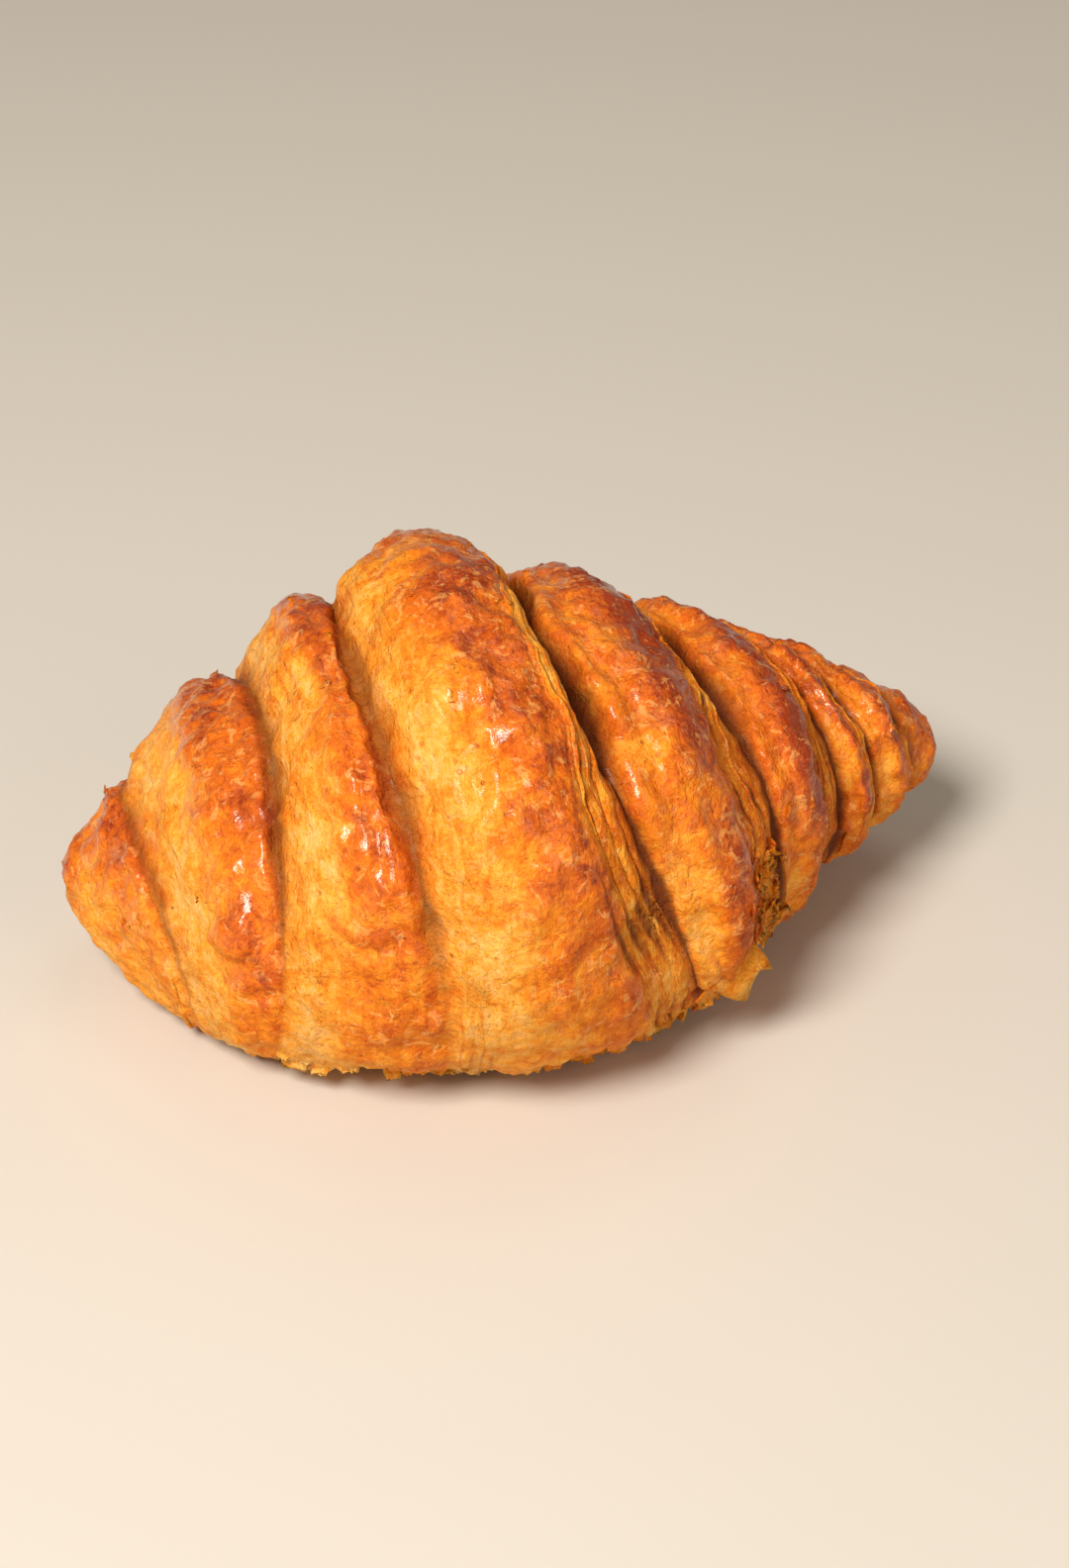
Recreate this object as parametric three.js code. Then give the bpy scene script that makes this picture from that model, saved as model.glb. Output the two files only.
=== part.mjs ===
// Croissant, baked in one piece. Millimetres, +Z up, resting on its flat base at z = 0.
//
// The dough was rolled from one end to the other, so it is a spindle with a fat middle whose tips
// bend back. Eight creases run around it. Between the creases lie the tiers of the roll: two and a
// tip to the left of the middle tier, four and a tip to its right. Each tier ends in a cut edge
// that stands proud of the tier beside it. Edges left of the middle face left, the others right.
import * as THREE from 'three';

// Tip to tip, along X. "Along" is 0 at the left tip and 1 at the right tip.
const LENGTH = 149;

// Smooth dough under the tiers, as [along, value] knots
const HALF_WIDTH = [
  [0, 0], [0.02, 8], [0.06, 18], [0.14, 28.5], [0.24, 37], [0.34, 43], [0.45, 44],
  [0.56, 40.5], [0.67, 34.5], [0.78, 26], [0.89, 18], [0.96, 13], [1, 0],
];
const CENTRE_HEIGHT = [
  [0, 17], [0.06, 18.5], [0.14, 23.5], [0.24, 30], [0.34, 36.5], [0.45, 36.5],
  [0.56, 33], [0.67, 29], [0.78, 27], [0.89, 25], [1, 22],
];
const CENTRE_SETBACK = [[0, 9], [0.1, 0.5], [0.2, -6.5], [0.4, -14], [0.6, -9.5], [0.8, 6], [1, 14]];
const RING_TURN_DEG = [[0, -4], [0.4, 0], [0.65, 12], [0.85, 25], [1, 32]];

// Cross-section: height above and depth below the centre, each against the half width
const TOP_RATIO = 0.88;
const BOTTOM_RATIO = 0.87;
const SQUARENESS = 2.3;

// Creases. at: place along the front; lean: how far the crease moves towards the left tip by the
// time it reaches the top; edge: the side the proud edge faces; face and step: width and height
// of that edge, mm; front and low: shares of the step left at the front and near the base;
// soft: 1 where the dough sealed into a round valley, 0 where the edge stayed crisp
const CREASES = [
  { at: 0.100, lean: 0.033, edge: 'left', face: 4.5, step: 3.0, front: 0.6, low: 0.35, soft: 0.8 },
  { at: 0.200, lean: -0.010, edge: 'left', face: 5.0, step: 6.0, front: 0.5, low: 0.12, soft: 0.6 },
  { at: 0.340, lean: 0.035, edge: 'left', face: 6.0, step: 7.0, front: 0.7, low: 0.12, soft: 0.65 },
  { at: 0.578, lean: 0.075, edge: 'right', face: 5.5, step: 8.0, front: 0.7, low: 0.4, soft: 0 },
  { at: 0.708, lean: 0.020, edge: 'right', face: 4.5, step: 7.0, front: 0.8, low: 0.45, soft: 0 },
  { at: 0.808, lean: 0.012, edge: 'right', face: 3.4, step: 5.0, front: 1.0, low: 0.5, soft: 0.1 },
  { at: 0.862, lean: 0.018, edge: 'right', face: 2.8, step: 3.5, front: 1.0, low: 0.5, soft: 0.2 },
  { at: 0.930, lean: 0.015, edge: 'right', face: 2.4, step: 2.8, front: 1.0, low: 0.6, soft: 0.3 },
];

// Rows across a proud edge, from the crease outwards, each for a crisp edge and for a soft one:
// share of the face width, and rise as a share of the step
const FACE_ROWS = [
  { away: [0.15, 0.24], rise: [-0.42, -0.46] },
  { away: [0.45, 0.55], rise: [-0.02, -0.12] },
  { away: [0.80, 0.90], rise: [0.24, 0.16] },
  { away: [1.05, 1.25], rise: [0.36, 0.34] },
];
// Rows across the tier that runs in under that edge: mm from the crease, and rise
const TUCK_ROWS = [
  { away: [0.7, 1.6], rise: [-0.60, -0.46] },
  { away: [1.9, 3.6], rise: [-0.32, -0.18] },
  { away: [4.6, 6.4], rise: [-0.14, 0.08] },
];
const CREASE_DEPTH = [-0.72, -0.62];
// Rows over the crest between the two edges of a tier, as shares of what is left
const CREST_ROWS = [0.25, 0.5, 0.75];
const CREST_SWELL = 2.6;
// The most of a tier's width that its two edges may take
const MOST_OF_TIER = 0.72;
// Tiers narrower than this, mm, have their rows drawn together
const FULL_TIER = 22;

// Rows that close the tips: [along, radius]
const LEFT_CAP = [[0.003, 3.4], [0.010, 6.6], [0.022, 9.8], [0.038, 13.4]];
const RIGHT_CAP = [[0.962, 12.6], [0.98, 10.6], [0.992, 7.2], [0.998, 3.8]];

const COLUMNS = 50;
// The steps fade towards the underside, where the dough was pressed flat on the tray
const BASE_RELIEF = 0.3;
const BASE_FADE_FROM = -0.35;

// Smooth curve through knots that never overshoots them
function onCurve(knots, x) {
  const last = knots.length - 1;
  const xc = Math.min(Math.max(x, knots[0][0]), knots[last][0]);
  const slope = (i) => (knots[i + 1][1] - knots[i][1]) / (knots[i + 1][0] - knots[i][0]);
  const tangent = (i) => {
    if (i === 0) return slope(0);
    if (i === last) return slope(last - 1);
    const before = slope(i - 1);
    const after = slope(i);
    return before * after <= 0 ? 0 : (2 * before * after) / (before + after);
  };
  let i = 0;
  while (i < last - 1 && xc > knots[i + 1][0]) i += 1;
  const span = knots[i + 1][0] - knots[i][0];
  const t = (xc - knots[i][0]) / span;
  const blend = t * t * (3 - 2 * t);
  return knots[i][1] * (1 - blend) + knots[i + 1][1] * blend
    + span * (t * (1 - t) ** 2 * tangent(i) - t * t * (1 - t) * tangent(i + 1));
}

const mixed = ([crisp, softened], soft) => crisp + (softened - crisp) * soft;

// Where a crease lies at an angle round the section (0 = front, 90 degrees = top)
const creaseAt = (crease, angle) => crease.at - crease.lean * Math.sin(angle);

// Share of a crease's step that is left at an angle
const stepLeft = (crease, angle) => (
  onCurve([[-0.85, crease.low], [0, crease.front], [0.65, 1]], Math.sin(angle)));

// One side of a crease at an angle, as rows of { away, rise } from the crease outwards
function sideRows(crease, proud, squeeze, angle) {
  const step = crease.step * stepLeft(crease, angle);
  const reach = proud ? crease.face : squeeze;
  return (proud ? FACE_ROWS : TUCK_ROWS).map(({ away, rise }) => ({
    away: mixed(away, crease.soft) * reach,
    rise: mixed(rise, crease.soft) * step,
  }));
}

// Row profile of one angle: list of [along, radius]
function profile(angle) {
  const rows = [...LEFT_CAP];
  const mm = 1 / LENGTH;
  const fade = THREE.MathUtils.smoothstep(Math.sin(angle), -1, BASE_FADE_FROM);
  const relief = BASE_RELIEF + (1 - BASE_RELIEF) * fade;
  const addRow = (along, rise) => rows.push([along, onCurve(HALF_WIDTH, along) + rise * relief]);

  sideRows(CREASES[0], false, 0.5, angle).reverse()
    .forEach(({ away, rise }) => addRow(creaseAt(CREASES[0], angle) - away * mm, rise));
  CREASES.forEach((crease, k) => {
    const here = creaseAt(crease, angle);
    const left = stepLeft(crease, angle);
    addRow(here, mixed(CREASE_DEPTH, crease.soft) * crease.step * left);
    const next = CREASES[k + 1];
    if (!next) return;
    const there = creaseAt(next, angle);
    const room = (there - here) * LENGTH;
    const squeeze = Math.min(1, room / FULL_TIER);
    const start = sideRows(crease, crease.edge === 'left', squeeze, angle);
    const end = sideRows(next, next.edge === 'right', squeeze, angle).reverse();
    const taken = (start[start.length - 1].away + end[0].away) / room;
    const fit = Math.min(1, MOST_OF_TIER / taken);
    [...start, ...end].forEach((row) => { row.away *= fit; });

    const first = start[start.length - 1];
    const last = end[0];
    start.forEach(({ away, rise }) => addRow(here + away * mm, rise));
    CREST_ROWS.forEach((share) => {
      const away = first.away + (room - first.away - last.away) * share;
      const rise = first.rise + (last.rise - first.rise) * share;
      addRow(here + away * mm, rise + CREST_SWELL * Math.sin(Math.PI * share) * squeeze * left);
    });
    end.forEach(({ away, rise }) => addRow(there - away * mm, rise));
  });
  const tipCrease = CREASES[CREASES.length - 1];
  addRow(creaseAt(tipCrease, angle) + 1.2 * mm, -0.5 * tipCrease.step);
  rows.push(...RIGHT_CAP);
  return rows;
}

// Point on the crust at a place along the roll, with a radius, at an angle round the section
function crustPoint(along, radius, angle) {
  const turn = THREE.MathUtils.degToRad(onCurve(RING_TURN_DEG, along));
  const centreHeight = onCurve(CENTRE_HEIGHT, along);
  const rise = Math.sin(angle);
  const reach = Math.cos(angle);
  const halfHeight = radius * (rise > 0 ? TOP_RATIO : BOTTOM_RATIO);
  const distance = ((Math.abs(reach) / radius) ** SQUARENESS
    + (Math.abs(rise) / halfHeight) ** SQUARENESS) ** (-1 / SQUARENESS);
  return [
    LENGTH * (along - 0.5) + Math.sin(turn) * distance * reach,
    onCurve(CENTRE_SETBACK, along) - Math.cos(turn) * distance * reach,
    Math.max(centreHeight + distance * rise, 0),
  ];
}

// Closed skin: a ring of points per row, and one point at each tip
function croissantGeometry() {
  const columns = Array.from({ length: COLUMNS }, (_, c) => {
    const angle = (c / COLUMNS) * 2 * Math.PI;
    return profile(angle).map(([along, radius]) => crustPoint(along, radius, angle));
  });
  const rowCount = columns[0].length;
  const positions = [];
  for (let r = 0; r < rowCount; r += 1) {
    columns.forEach((column) => positions.push(...column[r]));
  }
  const tipPoint = (along) => [
    LENGTH * (along - 0.5), onCurve(CENTRE_SETBACK, along), onCurve(CENTRE_HEIGHT, along),
  ];
  const leftTip = rowCount * COLUMNS;
  const rightTip = leftTip + 1;
  positions.push(...tipPoint(0), ...tipPoint(1));

  const faces = [];
  for (let c = 0; c < COLUMNS; c += 1) {
    const d = (c + 1) % COLUMNS;
    faces.push(leftTip, c, d);
    for (let r = 0; r < rowCount - 1; r += 1) {
      const row = r * COLUMNS;
      const nextRow = row + COLUMNS;
      faces.push(row + c, nextRow + c, nextRow + d, row + c, nextRow + d, row + d);
    }
    const lastRow = (rowCount - 1) * COLUMNS;
    faces.push(rightTip, lastRow + d, lastRow + c);
  }
  const geometry = new THREE.BufferGeometry();
  geometry.setAttribute('position', new THREE.Float32BufferAttribute(positions, 3));
  geometry.setIndex(faces);
  geometry.computeBoundingBox();
  const { min, max } = geometry.boundingBox;
  geometry.translate(-(min.x + max.x) / 2, -(min.y + max.y) / 2, -min.z);
  geometry.computeVertexNormals();
  return geometry;
}

const crust = new THREE.MeshStandardMaterial({ color: 0xc87a2b, roughness: 0.45, metalness: 0 });
const croissant = new THREE.Mesh(croissantGeometry(), crust);
croissant.name = 'croissant';

const part = new THREE.Group();
part.name = 'croissant_part';
part.add(croissant);

export default part;
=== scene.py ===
"""A butter croissant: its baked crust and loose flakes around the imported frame, on a studio stage."""
import math
from collections import namedtuple
from types import SimpleNamespace

import bpy
import numpy as np
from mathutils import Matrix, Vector, noise


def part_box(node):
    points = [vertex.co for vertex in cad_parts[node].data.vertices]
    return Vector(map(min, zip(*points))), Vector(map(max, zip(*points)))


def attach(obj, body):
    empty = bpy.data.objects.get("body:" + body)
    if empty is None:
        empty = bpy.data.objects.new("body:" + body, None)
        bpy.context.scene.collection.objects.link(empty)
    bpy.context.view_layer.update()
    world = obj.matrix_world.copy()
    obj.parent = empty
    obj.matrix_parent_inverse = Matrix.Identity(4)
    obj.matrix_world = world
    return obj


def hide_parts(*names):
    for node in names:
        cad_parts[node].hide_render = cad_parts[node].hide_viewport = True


bl_info = {
    "name": "Croissant",
    "version": (1, 0, 0),
    "blender": (4, 5, 0),
    "location": "3D View > Sidebar > Croissant",
    "description": "Builds a baked croissant crust in tiers, its loose flakes, finish and stage",
    "category": "Add Mesh",
}

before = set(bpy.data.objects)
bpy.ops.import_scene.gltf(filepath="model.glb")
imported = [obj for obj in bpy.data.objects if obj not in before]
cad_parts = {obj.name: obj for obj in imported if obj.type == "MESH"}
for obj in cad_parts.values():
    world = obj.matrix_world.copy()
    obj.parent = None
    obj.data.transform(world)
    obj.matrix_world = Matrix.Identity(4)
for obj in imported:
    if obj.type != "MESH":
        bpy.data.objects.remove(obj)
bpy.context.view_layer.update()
BOX_LOW, BOX_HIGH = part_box("croissant")

MM = 0.001
CRUST_NAME = "croissant_crust"
FLAKES_NAME = "croissant_flakes"

# ---------------- shape of the roll, in mm
# "Along" is 0 at the left tip and 1 at the right tip. Angle 0 is the front, 90 degrees the top.
LENGTH = 149.0
HALF_WIDTH = (
    (0, 0), (0.02, 8), (0.06, 18), (0.14, 28.5), (0.24, 37), (0.34, 43), (0.45, 44),
    (0.56, 40.5), (0.67, 34.5), (0.78, 26), (0.89, 18), (0.96, 13), (1, 0),
)
CENTRE_HEIGHT = (
    (0, 17), (0.06, 18.5), (0.14, 23.5), (0.24, 30), (0.34, 36.5), (0.45, 36.5),
    (0.56, 33), (0.67, 29), (0.78, 27), (0.89, 25), (1, 22),
)
CENTRE_SETBACK = ((0, 9), (0.1, 0.5), (0.2, -6.5), (0.4, -14), (0.6, -9.5), (0.8, 6), (1, 14))
RING_TURN_DEG = ((0, -4), (0.4, 0), (0.65, 12), (0.85, 25), (1, 32))
TOP_RATIO = 0.88
BOTTOM_RATIO = 0.87
SQUARENESS = 2.3

LEFT = -1
RIGHT = 1
# at: place along the front. lean: how far the crease moves left by the top. edge: the side that
# the proud edge faces. face, step: width and height of that edge, mm. front, low: shares of the
# step left at the front and near the base. soft: 1 where the dough sealed into a round valley.
# under: how far the crease runs in under the edge. gap: width of the open slot over the top.
# ramp: how far the edge slopes out as bare layers in front, up to ramp_top (sine of the angle).
# layers, ribs: number of dough layers that show, and depth of the grooves between them, mm.
Crease = namedtuple(
    "Crease", "at lean edge face step front low soft under gap ramp ramp_top layers ribs"
)
CREASES = (
    Crease(0.100, 0.033, LEFT, 4.5, 3.0, 0.60, 0.35, 0.80, 0.0, 0.0, 0.0, 0.90, 3, 0.05),
    Crease(0.200, -0.010, LEFT, 5.0, 6.0, 0.42, 0.06, 0.60, 0.3, 0.0, 0.0, 0.60, 4, 0.06),
    Crease(0.340, 0.035, LEFT, 6.0, 7.0, 0.55, 0.05, 0.65, 0.3, 0.0, 0.0, 0.50, 4, 0.06),
    Crease(0.578, 0.075, RIGHT, 5.5, 7.5, 0.62, 0.40, 0.00, 2.6, 2.6, 1.0, 0.85, 4, 0.75),
    Crease(0.708, 0.020, RIGHT, 5.2, 6.5, 0.75, 0.45, 0.00, 2.0, 2.0, 1.0, 1.00, 3, 0.70),
    Crease(0.808, 0.012, RIGHT, 4.0, 5.0, 1.00, 0.50, 0.10, 1.3, 0.8, 0.9, 0.95, 3, 0.50),
    Crease(0.862, 0.018, RIGHT, 2.8, 3.5, 1.00, 0.50, 0.20, 0.8, 0.4, 0.6, 0.90, 2, 0.40),
    Crease(0.930, 0.015, RIGHT, 2.4, 2.8, 1.00, 0.60, 0.30, 0.6, 0.2, 0.6, 0.90, 2, 0.30),
)
# Rows across a proud edge. away: share of the face width. crisp, ramp, soft: heights as shares of
# the step. pull: share of the undercut. cut, deep: bare dough and shadow, 0 to 1. soft_away and
# soft_cut hold where the crease is sealed.
FaceRow = namedtuple("FaceRow", "away soft_away crisp ramp soft pull cut soft_cut deep")
FACE_ROWS = (
    FaceRow(0.15, 0.24, -0.42, -0.38, -0.46, 0.85, 1.0, 0.1, 0.55),
    FaceRow(0.45, 0.55, -0.02, -0.26, -0.12, 0.0, 1.0, 0.50, 0.0),
    FaceRow(0.80, 0.90, 0.24, -0.12, 0.16, 0.0, 0.9, 0.65, 0.0),
    FaceRow(1.05, 1.25, 0.36, 0.36, 0.34, 0.0, 0.15, 0.45, 0.0),
)
# Rows of the tier that runs in under it. away: mm from the crease, plus a share of the gap
TuckRow = namedtuple("TuckRow", "away soft_away gap crisp ramp soft pull deep")
TUCK_ROWS = (
    TuckRow(0.7, 1.6, 0.75, -0.56, -0.24, -0.46, 0.75, 0.95),
    TuckRow(1.7, 3.6, 1.0, -0.15, -0.05, -0.18, 0.3, 0.3),
    TuckRow(4.2, 6.4, 1.0, 0.0, 0.04, 0.08, 0.0, 0.0),
)
# Height of a crease's bottom as a share of the step, where it is crisp, a ramp or sealed
CREASE_DEPTH = -0.72
RAMP_DEPTH = -0.46
SOFT_DEPTH = -0.62
# How much deeper an open slot is, for each mm of its width
GAP_DEPTH = 1.3
# The most of a tier's width that its edges take, and the swell between them, mm
MOST_OF_TIER = 0.72
CREST_SHARES = (0.25, 0.5, 0.75)
CREST_SWELL = 2.6
# Tiers narrower than this, mm, have their rows drawn together
FULL_TIER = 22
# Rows that close the tips, as (along, radius)
LEFT_CAP = ((0.003, 3.4), (0.010, 6.6), (0.022, 9.8), (0.038, 13.4))
RIGHT_CAP = ((0.962, 12.6), (0.98, 10.6), (0.992, 7.2), (0.998, 3.8))
# The steps fade to this share underneath, from this sine of the angle down
BASE_RELIEF = 0.3
BASE_FADE_FROM = -0.35
# Where a sealed crease has torn open: crease, angle in degrees, half length and depth, mm
TEARS = ((1, 40, 2.4, 1.6), (1, 66, 2, 0.9), (2, 8, 3, 0.9), (2, 118, 5, 1.6), (0, 30, 2, 0.8))
# Blisters that stand out of the glaze: along, angle in degrees, radius and height, mm
BLISTERS = ((0.155, 16, 4.2, 1.5), (0.15, 34, 3, 0.8), (0.452, 38, 3.6, 0.9), (0.3, 22, 3.2, 0.8))
# Large loose flakes low on the front. turn: radians. width, reach, lift: mm.
Flap = namedtuple("Flap", "along degrees turn width reach lift")
BIG_FLAPS = (
    Flap(0.632, -16, 2.7, 10, 6, 2.2), Flap(0.618, -24, 3.1, 8, 4, 1.6),
    Flap(0.600, -62, 3.3, 5, 4, 1.6), Flap(0.625, -58, 2.9, 4, 3, 1.4),
    Flap(0.550, -66, 3.1, 6, 4, 1.4), Flap(0.360, -64, 3.2, 6, 3, 1.2),
)
# The rough patch of crumbs: the crease whose edge it is on, and where it starts and ends
CRUMB_CREASE = 4
CRUMB_FROM_DEG, CRUMB_TO_DEG = -34, 14

# Distance between the skin's rows, mm, by the kind of stretch that they cross
ROW_SPACING = {"face": 0.36, "tuck": 0.46, "crest": 0.72, "cap": 0.8}
# Place of a face row in a single number: its crease times this, plus its share of the face
FACE_CODE = 10
# Lines round the roll are drawn as if on a straight tube of this radius, mm
TUBE_RADIUS = 7
# Bare edge of the bake map, and where the tips lie in it
MAP_EDGE = 0.01
MAP_TIP = 0.002


# ---------------- small helpers
def on_curve(knots, x):
    """Smooth curve through knots that never overshoots them."""
    kx = np.array([k[0] for k in knots], float)
    ky = np.array([k[1] for k in knots], float)
    slope = np.diff(ky) / np.diff(kx)
    before, after = slope[:-1], slope[1:]
    product = before * after
    total = np.where(product > 0, before + after, 1.0)
    inner = np.where(product > 0, 2 * product / total, 0.0)
    tangent = np.concatenate([slope[:1], inner, slope[-1:]])
    xc = np.clip(x, kx[0], kx[-1])
    i = np.clip(np.searchsorted(kx, xc, side="right") - 1, 0, len(kx) - 2)
    span = kx[i + 1] - kx[i]
    t = (xc - kx[i]) / span
    blend = t * t * (3 - 2 * t)
    return (
        ky[i] * (1 - blend) + ky[i + 1] * blend
        + span * (t * (1 - t) ** 2 * tangent[i] - t * t * (1 - t) * tangent[i + 1])
    )


def smooth(x, low, high):
    """0 below low, 1 above high, and a soft step between."""
    t = np.clip((x - low) / (high - low), 0, 1)
    return t * t * (3 - 2 * t)


def mixed(a, b, share):
    return a + (b - a) * share


def unit(vectors):
    return vectors / np.maximum(np.linalg.norm(vectors, axis=-1, keepdims=True), 1e-9)


def bumps(points, size, seed, octaves=2):
    """Soft random bumps from -1 to 1, about size apart, at each point."""
    shift = np.array([17.3, -9.1, 5.7]) * seed
    scaled = points.reshape(-1, 3) / size + shift
    values = [
        noise.fractal(Vector(p), 1.0, 2.0, octaves, noise_basis="PERLIN_ORIGINAL")
        for p in scaled
    ]
    return np.array(values).reshape(points.shape[:-1])


def wander(angles, turns, seed):
    """A line that drifts between -1 and 1 once round the roll, and closes on itself."""
    ring = np.stack([np.cos(angles), np.sin(angles), np.full_like(angles, seed * 3.7)], -1)
    return bumps(ring * np.array([turns, turns, 1.0]), 1.0, seed, 2)


# ---------------- the crust's skin
def crease_line(k, angles):
    crease = CREASES[k]
    drift = 0.5 * wander(angles, 1.6, 11 + k) + 0.3 * (1 - crease.soft) * wander(angles, 9, 91 + k)
    return crease.at - crease.lean * np.sin(angles) + drift / LENGTH


def step_left(k, angles):
    """Share of a crease's full step that is left at each angle."""
    crease = CREASES[k]
    return on_curve(((-0.85, crease.low), (0.0, crease.front), (0.65, 1.0)), np.sin(angles))


def edge_shape(k, angles):
    """What a crease is like at each angle: step, undercut, gap, and how much it is a ramp."""
    crease = CREASES[k]
    high = np.sin(angles)
    step = crease.step * step_left(k, angles) * (1 + 0.15 * wander(angles, 1.8, 21 + k))
    ramp = crease.ramp * (1 - smooth(high, crease.ramp_top - 0.35, crease.ramp_top))
    off_base = smooth(high, -0.8, -0.45)
    under = crease.under * (1 - 0.8 * ramp) * off_base * (1 + 0.4 * wander(angles, 2.2, 31 + k))
    opening = (1 - 0.9 * ramp) * smooth(high, 0.1, 0.6) * (1 + 0.5 * wander(angles, 2.6, 41 + k))
    return step, under, crease.gap * opening, ramp


def face_width(k, ramp):
    return CREASES[k].face * (1 + 0.65 * ramp)


def crease_floor(k, angles):
    """Height of a crease's bottom against the smooth dough, mm."""
    crease = CREASES[k]
    step, _, gap, ramp = edge_shape(k, angles)
    depth = mixed(mixed(CREASE_DEPTH, RAMP_DEPTH, ramp), SOFT_DEPTH, crease.soft)
    floor = depth * step - GAP_DEPTH * gap
    for torn, degrees, half_length, torn_depth in TEARS:
        if torn == k:
            around = (angles - math.radians(degrees)) * on_curve(HALF_WIDTH, crease.at)
            floor = floor - torn_depth * np.exp(-(around / half_length) ** 2)
    return floor


def side_rows(k, angles, proud, squeeze):
    """Rows on one side of a crease, outwards from it: mm from it, rise, pull and marks."""
    soft = CREASES[k].soft
    step, under, gap, ramp = edge_shape(k, angles)
    left = step_left(k, angles)
    rows = []
    for row in FACE_ROWS if proud else TUCK_ROWS:
        away = mixed(row.away, row.soft_away, soft)
        rise = mixed(mixed(row.crisp, row.ramp, ramp), row.soft, soft) * step
        if proud:
            away = away * face_width(k, ramp)
            cut = mixed(row.cut, row.soft_cut, soft)
            deep = row.deep * mixed(1.0, 0.5, soft) * left
        else:
            away = away * squeeze + row.gap * gap
            rise = rise - (GAP_DEPTH * gap if row is TUCK_ROWS[0] else 0)
            cut = 0.0
            deep = row.deep * mixed(1.0, 0.45, soft) * mixed(1.0, 0.5, ramp) * left
        rows.append(dict(
            away=away, rise=rise, pull=row.pull * under, cut=cut, deep=deep,
            kind="face" if proud else "tuck",
            code=FACE_CODE * k + row.away if proud else math.nan,
        ))
    return rows


def control_rows(angles):
    """Rows from the left tip to the right, each with its place, radius and marks."""
    per_mm = 1 / LENGTH
    relief = BASE_RELIEF + (1 - BASE_RELIEF) * smooth(np.sin(angles), -1, BASE_FADE_FROM)
    lines = [crease_line(k, angles) for k in range(len(CREASES))]
    rows = []

    def add_row(along, radius, across, kind, cut=0.0, deep=0.0, code=math.nan):
        rows.append(dict(
            along=along, radius=radius, across=across, kind=kind, cut=cut, deep=deep, code=code,
        ))

    def add(along, rise, *facts):
        add_row(along, on_curve(HALF_WIDTH, along) + rise * relief, *facts)

    def add_side(k, side, way, across):
        """One side of crease k. way: +1 for the side right of it, -1 for the left."""
        pulled = -CREASES[k].edge
        for row in side if way > 0 else side[::-1]:
            along = lines[k] + (way * row["away"] + pulled * row["pull"]) * per_mm
            add(along, row["rise"], across, row["kind"], row["cut"], row["deep"], row["code"])

    def cap(ends, across):
        for along, radius in ends:
            add_row(np.full_like(angles, along), np.full_like(angles, radius), across, "cap")

    cap(LEFT_CAP, 0.3)
    add_side(0, side_rows(0, angles, False, 0.5), -1, 0.7)
    for k, crease in enumerate(CREASES):
        _, under, _, _ = edge_shape(k, angles)
        # The crease's bottom row: bare dough where it is crisp, and painted shade, less where it is
        # sealed and where its step fades
        add(
            lines[k] - crease.edge * under * per_mm, crease_floor(k, angles), 0.0, "face",
            mixed(1.0, 0.0, crease.soft),
            mixed(1.0, 0.55, crease.soft) * np.minimum(1, 1.4 * step_left(k, angles)),
            FACE_CODE * k,
        )
        if k + 1 == len(CREASES):
            break
        after = CREASES[k + 1]
        room = (lines[k + 1] - lines[k]) * LENGTH
        squeeze = np.minimum(1, room / FULL_TIER)
        sides = [
            side_rows(j, angles, proud, squeeze)
            for j, proud in ((k, crease.edge == LEFT), (k + 1, after.edge == RIGHT))
        ]
        taken = (sides[0][-1]["away"] + sides[1][-1]["away"]) / room
        for row in sides[0] + sides[1]:
            row["away"] = row["away"] * np.minimum(1, MOST_OF_TIER / taken)
        add_side(k, sides[0], 1, 0.1)
        start, end = sides[0][-1], sides[1][-1]
        for share in CREST_SHARES:
            away = mixed(start["away"], room - end["away"], share)
            swell = CREST_SWELL * math.sin(math.pi * share) * squeeze * step_left(k, angles)
            rise = mixed(start["rise"], end["rise"], share) + swell
            add(lines[k] + away * per_mm, rise, 0.1 + 0.8 * share, "crest")
        add_side(k + 1, sides[1], -1, 0.9)
    # A low row just right of the last crease, with some painted shade
    add(lines[-1] + 1.2 * per_mm, -0.5 * CREASES[-1].step, 0.1, "tuck", 0.0, 0.4)
    cap(RIGHT_CAP, 0.5)
    return rows


def spline_shares(t):
    """Shares of four neighbouring rows in the curve that runs from the second to the third."""
    return (
        0.5 * (-t + 2 * t * t - t ** 3),
        0.5 * (2 - 5 * t * t + 3 * t ** 3),
        0.5 * (t + 4 * t * t - 3 * t ** 3),
        0.5 * (-t * t + t ** 3),
    )


def fine_rows(rows):
    """A smooth curve through the control rows at every angle, with the marks carried along."""
    along, radius = (np.array([row[key] for row in rows]) for key in ("along", "radius"))
    names = ("along", "radius", "cut", "deep", "across", "code")
    fine = {name: [] for name in names}
    last = len(rows) - 1
    for i in range(last):
        kinds = {rows[i]["kind"], rows[i + 1]["kind"]}
        spacing = next(ROW_SPACING[name] for name in ROW_SPACING if name in kinds)
        gap = np.hypot((along[i + 1] - along[i]) * LENGTH, radius[i + 1] - radius[i]).mean()
        count = max(2, round(gap / spacing))
        ends = [max(i - 1, 0), i, i + 1, min(i + 2, last)]
        for step in range(count + (i == last - 1)):
            t = step / count
            shares = spline_shares(t)
            fine["along"].append(sum(w * along[e] for w, e in zip(shares, ends)))
            fine["radius"].append(sum(w * radius[e] for w, e in zip(shares, ends)))
            for name in names[2:]:
                value = mixed(rows[i][name], rows[i + 1][name], t) if t else rows[i][name]
                fine[name].append(value + 0 * along[i])
    return {name: np.array(values) for name, values in fine.items()}


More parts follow.
